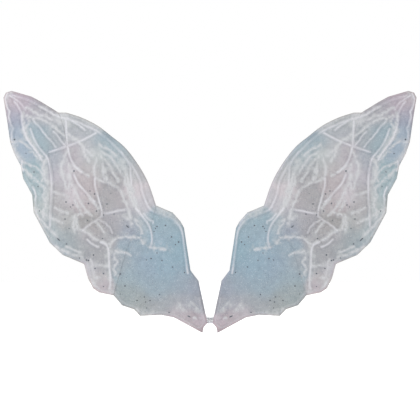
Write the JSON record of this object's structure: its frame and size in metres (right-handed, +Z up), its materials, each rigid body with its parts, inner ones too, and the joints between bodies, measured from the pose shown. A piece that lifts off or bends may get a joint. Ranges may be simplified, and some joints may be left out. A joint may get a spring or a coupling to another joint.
{
  "type": "costume fairy wings",
  "caption": "Pair of pastel film fairy wings on wire frames, held by stems that turn and lift out of sockets on a padded back plate.",
  "frame": {"origin": "middle of the waist of the back pad, on the face that rests on the wearer's back", "axes": "+X to the wearer's right, +Y into the wearer's back, +Z up; the wings stand out behind the wearer on the -Y side"},
  "size_m": [0.827, 0.0306, 0.4846],
  "materials": {
    "root_film": "translucent pearly blue film",
    "middle_film": "translucent pearly lilac grey film",
    "tip_film": "translucent pearly blue and pink film",
    "frame_wire": "satin spring wire",
    "bright_metal": "plated",
    "clear_plate": "clear sheet plastic, polished edges",
    "white_nylon": "moulded",
    "pad_cloth": "quilted jersey",
    "black_rubber": "matt"
  },
  "bodies": {
    "harness": {"back_plate": "clear_plate", "back_pad": "pad_cloth", "left_socket": "white_nylon", "left_socket_liner": "bright_metal", "left_socket_screw_upper": "bright_metal", "left_socket_screw_lower": "bright_metal", "right_socket": "white_nylon", "right_socket_liner": "bright_metal", "right_socket_screw_upper": "bright_metal", "right_socket_screw_lower": "bright_metal"},
    "left_bush": {"left_bush": "white_nylon", "left_grip_ring": "black_rubber"},
    "left_wing": {"left_stem": "frame_wire", "left_stem_collar": "bright_metal", "left_root_ferrule": "bright_metal", "left_leading_wire": "frame_wire", "left_trailing_wire": "frame_wire", "left_long_rib": "frame_wire", "left_seam_rib": "frame_wire", "left_star_upright": "frame_wire", "left_star_leading_arm": "frame_wire", "left_star_trailing_arm": "frame_wire", "left_star_stalk": "frame_wire", "left_centre_vein": "frame_wire", "left_slanting_vein": "frame_wire", "left_cross_vein": "frame_wire", "left_inner_vein": "frame_wire", "left_root_vein": "frame_wire", "left_root_film_front": "root_film", "left_root_film_back": "root_film", "left_middle_film_front": "middle_film", "left_middle_film_back": "middle_film", "left_tip_film_front": "tip_film", "left_tip_film_back": "tip_film"},
    "right_bush": {"right_bush": "white_nylon", "right_grip_ring": "black_rubber"},
    "right_wing": {"right_stem": "frame_wire", "right_stem_collar": "bright_metal", "right_root_ferrule": "bright_metal", "right_leading_wire": "frame_wire", "right_trailing_wire": "frame_wire", "right_long_rib": "frame_wire", "right_seam_rib": "frame_wire", "right_star_upright": "frame_wire", "right_star_leading_arm": "frame_wire", "right_star_trailing_arm": "frame_wire", "right_star_stalk": "frame_wire", "right_centre_vein": "frame_wire", "right_slanting_vein": "frame_wire", "right_cross_vein": "frame_wire", "right_inner_vein": "frame_wire", "right_root_vein": "frame_wire", "right_root_film_front": "root_film", "right_root_film_back": "root_film", "right_middle_film_front": "middle_film", "right_middle_film_back": "middle_film", "right_tip_film_front": "tip_film", "right_tip_film_back": "tip_film"}
  },
  "joints": [
    {"name": "left_lift", "type": "slide", "parent": "harness", "child": "left_bush", "axis": [-0.2181, 0, 0.9759], "range_m": [0, 0.055]},
    {"name": "left_swing", "type": "hinge", "parent": "left_bush", "child": "left_wing", "pos_m": [-0.018, -0.0205, 0], "axis": [-0.2181, 0, 0.9759], "range_deg": [-10, 65]},
    {"name": "right_lift", "type": "slide", "parent": "harness", "child": "right_bush", "axis": [0.2181, 0, 0.9759], "range_m": [0, 0.055]},
    {"name": "right_swing", "type": "hinge", "parent": "right_bush", "child": "right_wing", "pos_m": [0.018, -0.0205, 0], "axis": [-0.2181, 0, -0.9759], "range_deg": [-10, 65]}
  ]
}
